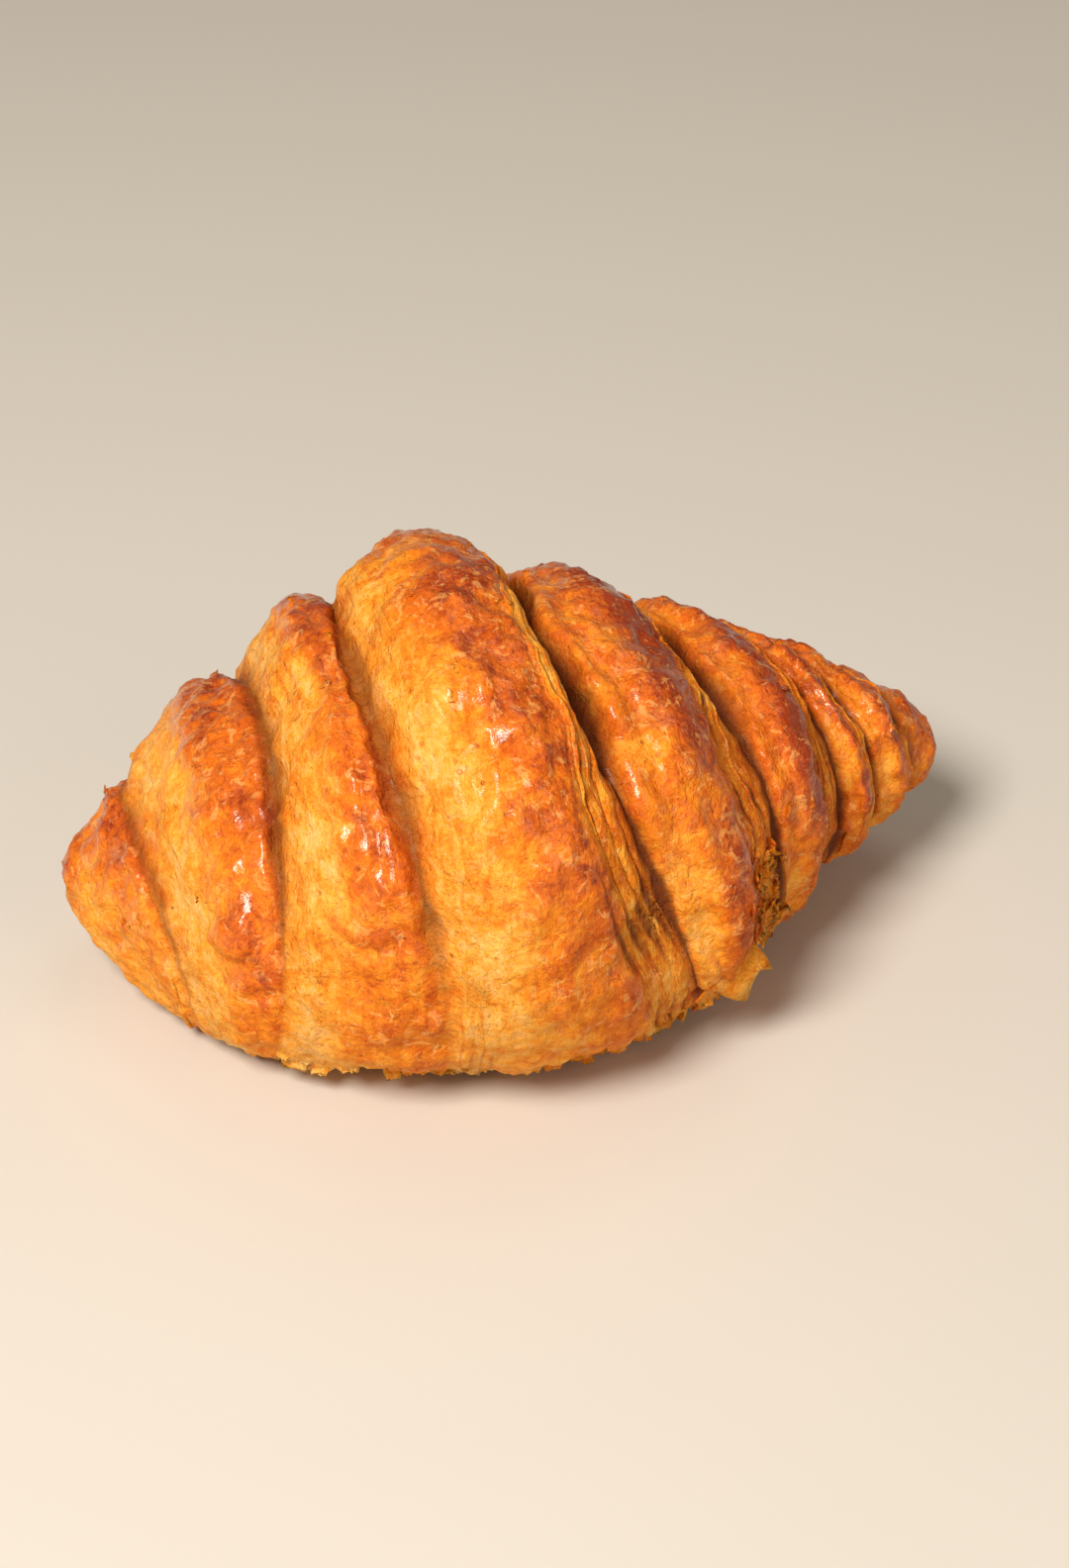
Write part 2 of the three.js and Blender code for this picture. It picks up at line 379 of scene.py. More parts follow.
def crust_points(along, radius, angles):
    """Points on the crust at places along the roll, with radii, at angles round the section."""
    turn = np.radians(on_curve(RING_TURN_DEG, along))
    rise = np.sin(angles) + 0 * along
    reach = np.cos(angles) + 0 * along
    half_height = radius * np.where(rise > 0, TOP_RATIO, BOTTOM_RATIO)
    distance = (
        (np.abs(reach) / radius) ** SQUARENESS + (np.abs(rise) / half_height) ** SQUARENESS
    ) ** (-1 / SQUARENESS)
    x = LENGTH * (along - 0.5) + np.sin(turn) * distance * reach
    y = on_curve(CENTRE_SETBACK, along) - np.cos(turn) * distance * reach
    z = np.maximum(on_curve(CENTRE_HEIGHT, along) + distance * rise, 0)
    return np.stack([x, y, z], -1)


def on_tube(along, angles):
    """Places on a straight tube, mm, for the lines that run round the roll."""
    x, y = TUBE_RADIUS * np.cos(angles), TUBE_RADIUS * np.sin(angles)
    return along * LENGTH, x + 0 * along, y + 0 * along


def grid_normals(points):
    """Outward normals of a skin laid out as rows by columns that close round."""
    across = np.gradient(points, axis=0)
    around = np.roll(points, -1, 1) - np.roll(points, 1, 1)
    return unit(np.cross(across, around))


def column_angles(count):
    """Angles round the section: from the underside, up the front, over the top and back."""
    even = np.linspace(0, 1, count, endpoint=False)
    crowd = 0.035 * np.sin(2 * math.pi * even)
    return 2 * math.pi * (even + crowd) - math.pi / 2


def layer_grooves(along, angles):
    """Grooves between the dough's layers on the proud edges, from 0 to 1, and their depth, mm."""
    grooves = np.zeros_like(along)
    depth = np.zeros_like(along)
    for k, crease in enumerate(CREASES):
        _, _, _, ramp = edge_shape(k, angles)
        share = -crease.edge * (along - crease_line(k, angles)) * LENGTH / face_width(k, ramp)
        inside = smooth(share, 0.05, 0.2) * (1 - smooth(share, 0.98, 1.12))
        phase = crease.layers * share + 0.55 * wander(angles, 2.4, 51 + k)
        phase = phase + 0.12 * wander(angles, 12, 61 + k)
        strength = np.clip(0.75 + 0.8 * wander(angles, 4.0, 71 + k), 0.1, 1.1)
        here = inside * strength * (0.5 + 0.5 * np.cos(2 * math.pi * phase)) ** 3
        grooves = np.maximum(grooves, here * mixed(1.0, 0.25, crease.soft))
        depth += crease.ribs * here
    return grooves, depth * smooth(np.sin(angles), -0.9, -0.6)


def shape_crust(settings):
    """The crust's skin: points in mm, outward normals, and what the finish needs at each one."""
    angles = column_angles(settings.columns)
    facts = fine_rows(control_rows(angles))
    along, cut, deep = facts["along"], facts["cut"], facts["deep"]
    grooves, groove_depth = layer_grooves(along, angles)
    radius = np.maximum(facts["radius"] - groove_depth, 0.5)
    points = crust_points(along, radius, angles[None, :])
    normals = grid_normals(points)

    up = points[..., 2]
    off_base = smooth(up, 0.2, 3.0)
    tube = np.stack(on_tube(along, angles), -1)
    lumps = bumps(points, 24, 1) * settings.lumps
    dents = bumps(points, 8, 2) * settings.dents
    wrinkles = -np.abs(bumps(points, 6.5, 6)) * settings.wrinkles
    blisters = np.maximum(bumps(points, 3.6, 3), -0.1) * settings.blisters
    stretch = bumps(tube, 1.2, 4) * (0.10 + 0.35 * cut) * settings.stretch
    height = lumps * (1 - 0.5 * deep) + dents + (wrinkles + blisters) * (1 - 0.7 * cut) + stretch
    for at, degrees, size, rise in BLISTERS:
        around = (angles - math.radians(degrees)) * on_curve(HALF_WIDTH, at)
        off = np.hypot((along - at) * LENGTH, around) / size
        height += rise * (1 - smooth(off, 0.45, 1.0))
    height = height * off_base

    foot = (1 - smooth(up, 2.0, 12.0)) * smooth(up, 0.0, 0.7)
    ragged = 0.6 + 1.0 * bumps(points, 4.5, 5) + 1.2 * bumps(points, 1.9, 7)
    height += foot * ragged * settings.foot * smooth(along, 0.10, 0.28)
    points = points + normals * height[..., None]
    points[..., 2] = np.maximum(points[..., 2], 0)
    points[off_base == 0, 2] = 0
    facts.update(angles=angles + 0 * along, grooves=grooves, height=height)
    return points, grid_normals(points), facts


def skin_marks(points, normals, facts):
    """What the finish reads at every point of the skin.

    bake: how brown it is, with painted shade toward the right end. cut: bare layers.
    The crease mark: painted shade in the creases, gaps and grooves. base: pressed on the tray.
    washed: brushed with egg. The rest is its place on the tube."""
    along, z, up = facts["along"], points[..., 2], normals[..., 2]
    low = 1 - smooth(z, 8, 40)
    across = smooth(facts["across"], 0.12, 0.62)
    right_side = smooth(facts["across"], 0.55, 0.85) * smooth(along, 0.42, 0.50)
    bake = 0.26 + 0.08 * smooth(up, -0.2, 0.9) + 0.33 * across * (1 - 0.6 * low) + 0.02 * low
    bake += 0.12 * smooth(facts["height"], -0.8, 1.2)
    # Browner toward the right end: partly the crust's own browning, partly painted shade
    bake += 0.19 * smooth(along, 0.46, 0.75)
    bake += 0.12 * right_side * (1 - low)
    bake += 0.11 * smooth(np.sin(facts["angles"]), 0.5, 0.95)
    layer_bake = mixed(0.14, 0.36, smooth(along, 0.45, 0.55))
    bake = mixed(bake, layer_bake, 0.8 * facts["cut"])
    crumbly = 1 - smooth(z, 3.0, 12.0)
    along_mm, round_x, round_y = on_tube(along, facts["angles"])
    return dict(
        bake=bake - 0.10 * crumbly, cut=np.maximum(facts["cut"], 0.5 * crumbly),
        # Painted shade in the creases and in the grooves between the dough's layers
        deep=np.maximum(facts["deep"], 0.75 * facts["grooves"]),
        base=(1 - smooth(z, 0.3, 2.5)) * smooth(-up, 0.2, 0.8), washed=smooth(up, -0.15, 0.4),
        along_mm=along_mm, round_x=round_x, round_y=round_y,
    )


def from_skin_to_frame(points, skin):
    """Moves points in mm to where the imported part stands, in metres."""
    low, high = skin.reshape(-1, 3).min(0), skin.reshape(-1, 3).max(0)
    centre = np.array([(low[0] + high[0]) / 2, (low[1] + high[1]) / 2, 0])
    place = np.array([(BOX_LOW.x + BOX_HIGH.x) / 2, (BOX_LOW.y + BOX_HIGH.y) / 2, BOX_LOW.z])
    return (points - centre) * MM + place


def make_piece(name, verts, faces, uv, marks, material):
    """A smooth-shaded mesh object with its bake map and the marks that its finish reads."""
    mesh = bpy.data.meshes.new(name)
    mesh.from_pydata(verts.tolist(), [], faces)
    layer = mesh.uv_layers.new(name="OFBake")
    layer.data.foreach_set("uv", np.array(uv, np.float32).ravel())
    for label, values in marks.items():
        attribute = mesh.attributes.new(label, "FLOAT", "POINT")
        attribute.data.foreach_set("value", np.asarray(values, np.float32))
    mesh.polygons.foreach_set("use_smooth", np.ones(len(mesh.polygons), bool))
    mesh.update()
    mesh.materials.append(material)
    piece = bpy.data.objects.new(name, mesh)
    bpy.context.scene.collection.objects.link(piece)
    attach(piece, "root")
    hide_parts("croissant")
    return piece


def squares(ids):
    """Corners of the squares between the rows and columns of a grid of point numbers."""
    return np.stack([ids[:-1, :-1], ids[1:, :-1], ids[1:, 1:], ids[:-1, 1:]], -1).reshape(-1, 4)


def build_skin(points, marks, material):
    """The crust: a closed mesh from the rows and columns of points, with its tips closed."""
    rows, columns, _ = points.shape
    tips = np.array([points[0].mean(0), points[-1].mean(0)])
    verts = from_skin_to_frame(np.concatenate([points.reshape(-1, 3), tips]), points)

    ids = np.arange(rows * columns).reshape(rows, columns)
    ids = np.concatenate([ids, ids[:, :1]], 1)
    left = [(rows * columns, a, b) for a, b in zip(ids[0], ids[0, 1:])]
    right = [(rows * columns + 1, b, a) for a, b in zip(ids[-1], ids[-1, 1:])]

    length = np.linalg.norm(np.diff(points, axis=0), axis=-1).mean(1)
    u = np.concatenate([[0], np.cumsum(length)])
    inner = 1 - 2 * MAP_EDGE
    u = MAP_EDGE + inner * u / u[-1]
    v = MAP_EDGE + inner * np.arange(columns + 1) / columns
    places = np.stack(np.meshgrid(u, v, indexing="ij"), -1).reshape(-1, 2)
    corners = squares(np.arange(len(places)).reshape(rows, columns + 1))
    uv = places[corners.reshape(-1)].tolist()
    for c in range(columns):
        uv += [(MAP_TIP, (v[c] + v[c + 1]) / 2), (u[0], v[c]), (u[0], v[c + 1])]
    for c in range(columns):
        uv += [(1 - MAP_TIP, (v[c] + v[c + 1]) / 2), (u[-1], v[c + 1]), (u[-1], v[c])]
    carried = {
        name: np.concatenate([values.reshape(-1), [values[0].mean(), values[-1].mean()]])
        for name, values in marks.items()
    }
    faces = squares(ids).tolist() + left + right
    return make_piece(CRUST_NAME, verts, faces, uv, carried, material)


# ---------------- flakes and torn layers
# Sheets are points in rows and columns, a direction at each that the sheet is thick in, how thick
# it is, mm, and the marks that its finish reads.
Sheet = namedtuple("Sheet", "top backs thickness marks")
FLAKE_ROWS, FLAKE_COLUMNS = 6, 5
# How deep flakes and layers are rooted, and how low a flake may reach, mm
FLAKE_ROOT = 0.35
LAYER_ROOT = 0.4
LOWEST_FLAKE = 0.3


def marks_near(marks, r, c, across, out, **changed):
    """The skin's marks at one point, spread over a sheet that grows from it."""
    spread = {name: values[r, c] + 0 * across for name, values in marks.items()}
    spread["along_mm"] = spread["along_mm"] + across
    spread["round_x"] = spread["round_x"] + out
    for name, value in changed.items():
        spread[name] = value + 0 * across
    return spread


def flake(skin, r, c, turn, width, reach, lift, rng, cut=0.4, thickness=0.25, bake=0.0):
    """A ragged flake rooted in the crust at row r, column c, with its free edge lifted.

    turn is 0 where the free edge points the way that the angle grows."""
    points, normals, marks = skin
    columns = points.shape[1]
    normal = normals[r, c]
    around = unit(points[r, (c + 1) % columns] - points[r, c - 1])
    side = np.cross(around, normal)
    free = math.cos(turn) * around + math.sin(turn) * side
    wide = np.cross(normal, free)
    s = np.linspace(-0.5, 0.5, FLAKE_ROWS)[:, None, None]
    t = np.linspace(0, 1, FLAKE_COLUMNS)[None, :, None]
    ragged = 1 + 0.4 * rng.uniform(-1, 1, (FLAKE_ROWS, 1, 1)) * t
    narrow = 1 - 0.5 * rng.uniform(0.3, 1) * t ** 3
    curl = 0.12 * lift * rng.uniform(-1, 1, (FLAKE_ROWS, FLAKE_COLUMNS, 1)) * t
    cupped = 0.3 * lift * (2 * s) ** 2 * t
    height = -FLAKE_ROOT + (lift + FLAKE_ROOT) * t ** 1.4 + curl + cupped
    across = s * width * narrow
    out = t * reach * ragged
    top = points[r, c] + wide * across + free * out + normal * height
    top[..., 2] = np.maximum(top[..., 2], LOWEST_FLAKE)
    spread = marks_near(
        marks, r, c, (across + 0 * out)[..., 0], (out + 0 * across)[..., 0],
        cut=cut, deep=0.0, base=0.0,
    )
    spread["bake"] = spread["bake"] + bake + rng.uniform(-0.16, 0.12) - 0.08 * (t + 0 * s)[..., 0]
    return Sheet(top, np.broadcast_to(normal, top.shape), thickness, spread)


def face_line(facts, k, share):
    """The skin's row that lies a share of the way across proud edge k."""
    return np.nanargmin(np.abs(facts["code"][:, 0] - (FACE_CODE * k + share)))


def torn_layer(skin, facts, k, share, first, last, reach, lean, rng):
    """The torn edge of one dough layer, standing up from proud edge k between two angles."""
    points, normals, marks = skin
    row = face_line(facts, k, share)
    angles = facts["angles"][0]
    picked = np.flatnonzero((angles > first) & (angles < last))
    out = normals[row, picked]
    to_lip = unit(points[row - 2, picked] - points[row + 2, picked])
    s = np.linspace(0, 1, len(picked))
    bent = np.interp(s, np.linspace(0, 1, 9), rng.uniform(0.5, 1.25, 9))
    height = reach * np.sin(math.pi * s) ** 0.6 * bent * rng.uniform(0.75, 1.15, len(picked))
    height *= 1 - 0.6 * smooth(angles[picked], 1.0, 1.5)
    t = np.linspace(0, 1, 3)[None, :, None]
    top = points[row, picked][:, None] - LAYER_ROOT * out[:, None]
    top = top + t * (height[:, None, None] + LAYER_ROOT) * out[:, None]
    top = top + t ** 2 * lean * height[:, None, None] * to_lip[:, None]
    spread = {
        name: np.repeat(values[row, picked][:, None], 3, 1) for name, values in marks.items()
    }
    tips = (t + 0 * s[:, None, None])[..., 0]
    # Torn layers browner toward their tips, with painted shade at their roots
    spread.update(
        bake=rng.uniform(0.25, 0.6) + 0.1 * tips, cut=0.8, deep=0.35 * (1 - tips),
    )
    return Sheet(top, to_lip[:, None] + 0 * top, 0.4, spread)


def foot_column(points, r, height, front):
    """The column of row r where the crust first rises past a height, at the front or back."""
    above = np.flatnonzero(points[r, :, 2] > height)
    if len(above) == 0:
        return None
    return above[0] if front else above[-1]


def scattered_flakes(skin, facts, settings):
    """Small lifted scales of glaze over the tiers."""
    points = skin[0]
    rng = np.random.default_rng(11)
    rows, columns, _ = points.shape
    tip_rows, lowest = 12, 8
    sheets = []
    while len(sheets) < settings.scales:
        r, c = rng.integers(tip_rows, rows - tip_rows), rng.integers(0, columns)
        if points[r, c, 2] < lowest or facts["deep"][r, c] > 0.1 or facts["cut"][r, c] > 0.6:
            continue
        size = rng.uniform(1.0, 2.8)
        sheets.append(flake(
            skin, r, c, rng.uniform(0, 2 * math.pi), size * rng.uniform(0.8, 1.6), size * 0.6,
            rng.uniform(0.1, 0.35), rng, cut=0.15, thickness=0.15,
        ))
    return sheets


def foot_flakes(skin, facts, settings):
    """The crumbly skirt where the crust met the tray."""
    points = skin[0]
    rng = np.random.default_rng(23)
    left_rows, right_rows = 30, 40
    sheets = []
    for _ in range(settings.foot_flakes):
        r = rng.integers(left_rows, points.shape[0] - right_rows)
        front = rng.random() < 0.7
        c = foot_column(points, r, rng.uniform(1.5, 9.0), front)
        if c is None or (front and not 0.2 < facts["along"][r, c] < 0.66):
            continue
        down = math.pi if front else 0
        size = rng.uniform(0.9, 2.6)
        sheets.append(flake(
            skin, r, c, down + rng.uniform(-1.0, 1.0), size * rng.uniform(0.9, 2.4), size * 0.55,
            rng.uniform(0.2, 0.9), rng, cut=0.3, thickness=0.4, bake=rng.uniform(-0.12, 0.12),
        ))
    return sheets


def torn_layers(skin, facts):
    """Edges of single layers standing along every edge that faces right."""
    rng = np.random.default_rng(37)
    sheets = []
    for k, crease in enumerate(CREASES):
        if crease.edge == LEFT:
            continue
        for layer in range(1, crease.layers):
            share = (layer + 0.55) / crease.layers
            start = math.radians(rng.uniform(-48, -30))
            while start < math.radians(215):
                length = math.radians(rng.uniform(28, 75))
                reach = rng.uniform(0.25, 0.75) * crease.ribs
                sheets.append(torn_layer(
                    skin, facts, k, share, start, start + length, reach,
                    rng.uniform(-0.6, 0.8), rng,
                ))
                start += length * rng.uniform(0.9, 1.6)
    return sheets


def crumbs(skin, facts, settings):
    """The rough patch of crumbs on a proud edge."""
    columns = skin[0].shape[1]
    rng = np.random.default_rng(41)
    angles = facts["angles"][0]
    sheets = []
    for _ in range(settings.crumbs):
        r = face_line(facts, CRUMB_CREASE, rng.uniform(0.05, 1.0))
        c = np.searchsorted(angles, math.radians(rng.uniform(CRUMB_FROM_DEG, CRUMB_TO_DEG)))
        size = rng.uniform(0.9, 2.2)
        sheets.append(flake(
            skin, r + rng.integers(-9, 10), c % columns, rng.uniform(0, 2 * math.pi),
            size * 1.4, size, rng.uniform(0.3, 0.9), rng, cut=0.4, thickness=0.4, bake=0.10,
        ))
    return sheets


def big_flaps(skin, facts):
    """The large loose flakes low on the front."""
    rng = np.random.default_rng(5)
    along, angles = facts["along"], facts["angles"][0]
    sheets = []
    for flap in BIG_FLAPS:
        c = int(np.searchsorted(angles, math.radians(flap.degrees)))
        r = int(np.argmin(np.abs(along[:, c] - flap.along)))
        sheets.append(flake(
            skin, r, c, flap.turn, flap.width, flap.reach, flap.lift, rng,
            cut=0.3, thickness=0.4, bake=-0.12,
        ))
    return sheets


def build_flakes(sheets, skin_points, material):
    """All the sheets as one piece, each closed by a back and a rim."""
    cells = math.ceil(math.sqrt(len(sheets)))
    verts, faces, uv = [], [], []
    carried = {name: [] for name in sheets[0].marks}
    start = 0
    for number, sheet in enumerate(sheets):
        n, m = sheet.top.shape[:2]
        back = sheet.top - sheet.backs * sheet.thickness
        verts += [sheet.top.reshape(-1, 3), back.reshape(-1, 3)]
        for name, values in sheet.marks.items():
            flat = np.broadcast_to(values, (n, m)).reshape(-1)
            carried[name] += [flat, flat]

        corner = np.array([number % cells, number // cells])
        s, t = np.meshgrid(np.linspace(0, 1, n), np.linspace(0, 1, m), indexing="ij")
        top_uv = np.stack([0.06 + 0.38 * s, 0.06 + 0.88 * t], -1).reshape(-1, 2)
        top_uv = (corner + top_uv) / cells
        back_uv = top_uv + np.array([0.5 / cells, 0])
        ids = np.arange(n * m).reshape(n, m)
        for square in squares(ids):
            faces.append((start + square).tolist())
            faces.append((start + n * m + square[::-1]).tolist())
            uv += [*top_uv[square], *back_uv[square[::-1]]]
        rim = np.concatenate([ids[:, 0], ids[-1, 1:], ids[-2::-1, -1], ids[0, -2:0:-1]])
        middle = top_uv.mean(0)
        for p, q in zip(rim, np.roll(rim, -1)):
            faces.append([int(start + e) for e in (q, p, p + n * m, q + n * m)])
            outer = [top_uv[e] + 0.06 * (top_uv[e] - middle) for e in (p, q)]
            uv += [top_uv[q], top_uv[p], *outer]
        start += 2 * n * m
    verts = from_skin_to_frame(np.concatenate(verts), skin_points)
    # No flake's back sinks into the floor
    verts[:, 2] = np.maximum(verts[:, 2], BOX_LOW.z)
    carried = {name: np.concatenate(values) for name, values in carried.items()}
    return make_piece(FLAKES_NAME, verts, faces, uv, carried, material)


# ---------------- finish of the crust
# Where each colour setting stands on the way from raw, 0, to fully baked, 1
BAKE_STOPS = {"pale": 0.0, "gold": 0.24, "amber": 0.47, "orange": 0.70, "brown": 0.88, "dark": 1.0}
# Colours laid over the bake, as they show on screen, 0 to 255
SPOT = (255, 194, 112)
WISP = (255, 208, 138)
PIT = (150, 62, 14)
# Painted shade: WARM_SHADOW in the creases and grooves, DARK_SHADOW in the deepest gaps
WARM_SHADOW = (176, 74, 14)
DARK_SHADOW = (84, 30, 12)
TRAY_BROWN = (150, 84, 34)


class Nodes:
    """A material's nodes, added and joined by short calls."""

    def __init__(self, material):
        material.use_nodes = True
        self.tree = material.node_tree
        self.tree.nodes.clear()

    def add(self, kind, **values):
        node = self.tree.nodes.new(kind)
        for key, value in values.items():
            setattr(node, key, value)
        return node

    def join(self, source, target):
        self.tree.links.new(source, target)

    def settle(self, node, values):
        """Plain values on a node's own sockets, by name."""
        for name, value in values.items():
            node.inputs[name].default_value = value

    def put(self, value, socket):
        """A number or colour straight on a socket, or a link from another node."""
        if isinstance(value, (int, float)):
            socket.default_value = value
        elif isinstance(value, tuple):
            socket.default_value = (*from_screen(value), 1)
        else:
            self.join(value, socket)

    def math(self, operation, *values, clamp=False):
        node = self.add("ShaderNodeMath", operation=operation, use_clamp=clamp)
        for socket, value in zip(node.inputs, values):
            self.put(value, socket)
        return node.outputs[0]

    def times(self, a, b):
        return self.math("MULTIPLY", a, b)

    def total(self, first, *shares):
        """first, plus each (value, middle, weight) as weight times how far value is off middle."""
        for value, middle, weight in shares:
            first = self.math("MULTIPLY_ADD", self.math("SUBTRACT", value, middle), weight, first)
        return first

    def mark(self, name):
        return self.add("ShaderNodeAttribute", attribute_name=name).outputs["Fac"]

    def noise(self, where, scale, detail=3.0, roughness=0.55, distortion=0.0, seed=0.0):
        node = self.add("ShaderNodeTexNoise", noise_dimensions="4D")
        self.join(where, node.inputs["Vector"])
        self.settle(node, {
            "W": seed, "Scale": scale, "Detail": detail, "Roughness": roughness,
            "Distortion": distortion,
        })
        return node.outputs["Fac"]

    def cells(self, where, scale, feature="F1"):
        node = self.add("ShaderNodeTexVoronoi", feature=feature)
        self.join(where, node.inputs["Vector"])
        self.settle(node, {"Scale": scale})
        return node.outputs["Distance"]

    def span(self, value, low, high, to_low=0.0, to_high=1.0):
        """to_low where value is low, to_high where it is high, and a soft step between."""
        node = self.add("ShaderNodeMapRange", interpolation_type="SMOOTHSTEP")
        self.join(value, node.inputs["Value"])
        self.settle(node, {
            "From Min": low, "From Max": high, "To Min": to_low, "To Max": to_high,
        })
        return node.outputs["Result"]

    def plates(self, where, scale, levels, seed):
        """Thin plates lying on each other: their height in plates, and a random tone for each."""
        level = self.times(self.noise(where, scale, 4, 0.6, 0.9, seed), levels)
        whole = self.math("FLOOR", level)
        edge = self.span(self.math("FRACT", level), 0.0, 0.22)
        tone = self.add("ShaderNodeTexWhiteNoise", noise_dimensions="1D")
        self.join(whole, tone.inputs["W"])
        return self.math("ADD", whole, edge), tone.outputs["Value"]

    def ramp(self, value, stops):
        node = self.add("ShaderNodeValToRGB")
        self.join(value, node.inputs["Fac"])
        ramp = node.color_ramp
        while len(ramp.elements) < len(stops):
            ramp.elements.new(0.5)
        for element, (place, colour) in zip(ramp.elements, stops):
            element.position = place
            element.color = (*from_screen(colour), 1)
        return node.outputs["Color"]

    def mix(self, share, a, b):
        node = self.add("ShaderNodeMix", data_type="RGBA")
        sockets = [s for s in node.inputs if s.type == "RGBA"]
        self.put(share, node.inputs["Factor"])
        self.put(a, sockets[0])
        self.put(b, sockets[1])
        return [s for s in node.outputs if s.type == "RGBA"][0]

    def bump(self, height, depth_mm, below=None):
        node = self.add("ShaderNodeBump")
        self.settle(node, {"Strength": 1.0, "Distance": depth_mm * MM})
        self.join(height, node.inputs["Height"])
        if below is not None:
            self.join(below, node.inputs["Normal"])
        return node.outputs["Normal"]


def from_screen(colour):
    """Screen colour, 0 to 255, as the linear light that Blender mixes."""
    return tuple(
        c / 12.92 if c <= 0.04045 else ((c + 0.055) / 1.055) ** 2.4
        for c in (channel / 255 for channel in colour)
    )


def crust_patterns(n):
    """Patterns and marks that the colour, the glaze and the bumps share, by name."""
    where = n.add("ShaderNodeTexCoord").outputs["Object"]
    tube = n.add("ShaderNodeCombineXYZ")
    for socket, name in zip(tube.inputs, ("along_mm", "round_x", "round_y")):
        n.join(n.mark(name), socket)
    blotches = n.noise(where, 170, 4, 0.6, 1.6, 2)
    ridge = n.math("ABSOLUTE", n.math("SUBTRACT", n.noise(where, 230, 3, 0.6, 1.4, 8), 0.5))
    pits = n.span(n.cells(where, 300), 0.07, 0.17, 1.0, 0.0)
    return SimpleNamespace(
        where=where, tube=tube.outputs[0], blotches=blotches,
        cut=n.mark("cut"), deep=n.mark("deep"), base=n.mark("base"),
        mottle=n.noise(where, 520, 4, 0.65, 1.0, 3),
        grain=n.noise(where, 1500, 2, 0.5, 0.0, 4),
        plates=n.plates(where, 120, 13, 6), scales=n.plates(where, 300, 9, 7),
        wisps=n.times(n.span(ridge, 0.0, 0.026, 1.0, 0.0), n.span(blotches, 0.5, 0.6)),
        pits=n.times(pits, n.span(n.noise(where, 90, 2, 0.5, 0.0, 9), 0.48, 0.6)),
    )


def crust_bake(n, pattern, bake_shift):
    """How brown the crust is, from 0 to 1."""
    patches = n.noise(pattern.where, 62, 4, 0.62, 1.2, 1)
    lines = n.noise(pattern.tube, 1.2, 4, 0.6, 0.3, 5)
    baked = n.total(
        n.mark("bake"), (n.span(patches, 0.4, 0.6), 0.5, 0.26), (pattern.blotches, 0.5, 0.75),
        (pattern.mottle, 0.5, 0.55), (pattern.plates[1], 0.5, 0.12),
        (pattern.scales[1], 0.5, 0.10), (pattern.grain, 0.5, 0.2),
        (lines, 0.5, n.span(pattern.cut, 0, 1, 0.35, 0.9)),
    )
    return n.math("ADD", baked, bake_shift, clamp=True)


def crust_colour(n, pattern, finish, baked):
    """The bake as colour, with pale spots, wisps and pits, and painted shade in the creases."""
    pale_spots = n.span(n.noise(pattern.where, 290, 4, 0.6, 1.6, 13), 0.56, 0.63)
    colour = n.ramp(baked, [
        (place, [255 * channel for channel in getattr(finish, name)])
        for name, place in BAKE_STOPS.items()
    ])
    for where, share, tint in (
        (pale_spots, 0.42, SPOT),
        (pattern.wisps, 0.22, WISP),
        (pattern.pits, 0.5, PIT),
        # Painted shade: warm in the creases and grooves, dark in the deepest gaps
        (n.span(pattern.deep, 0.05, 0.5), 0.45, WARM_SHADOW),
        (n.span(pattern.deep, 0.3, 0.9), 0.85, DARK_SHADOW),
        (pattern.base, 0.7, TRAY_BROWN),
    ):
        colour = n.mix(n.times(where, share), colour, tint)
    return colour


def crust_glaze(n, pattern, baked):
    """How much egg glaze lies on the crust, from 0 to 1."""
    bare = n.math("MAXIMUM", pattern.cut, pattern.base)
    glaze = n.times(n.math("SUBTRACT", 1.0, bare, clamp=True), n.mark("washed"))
    glaze = n.times(glaze, n.span(pattern.deep, 0.1, 0.5, 1.0, 0.2))
    glaze = n.times(glaze, n.span(baked, 0.1, 0.6, 0.3, 1.0))
    brushed = n.noise(pattern.where, 110, 3, 0.6, 1.0, 10)
    return n.times(glaze, n.span(brushed, 0.40, 0.58, 0.40, 1.0))


def crust_normals(n, pattern):
    """The crust's own relief, and the gentler one of the glaze that lies over it."""
    skin = n.noise(pattern.where, 400, 4, 0.6, 1.2, 11)
    blisters = n.cells(pattern.where, 340, "SMOOTH_F1")
    fine_lines = n.noise(pattern.tube, 3.0, 3, 0.6, 0.0, 12)
    normal = None
    for height, depth_mm in (
        (skin, 0.85),
        (blisters, -0.25),
        (n.math("MULTIPLY_ADD", pattern.wisps, 0.4, pattern.plates[0]), 0.09),
        (pattern.scales[0], 0.05),
        (n.times(fine_lines, n.span(pattern.cut, 0, 1, 0.3, 1.0)), 0.7),
        (n.math("SUBTRACT", pattern.grain, pattern.pits), 0.16),
    ):
        normal = n.bump(height, depth_mm, normal)
    pitted = n.math("SUBTRACT", pattern.mottle, pattern.pits)
    return normal, n.bump(pitted, 0.07, n.bump(skin, 0.17))


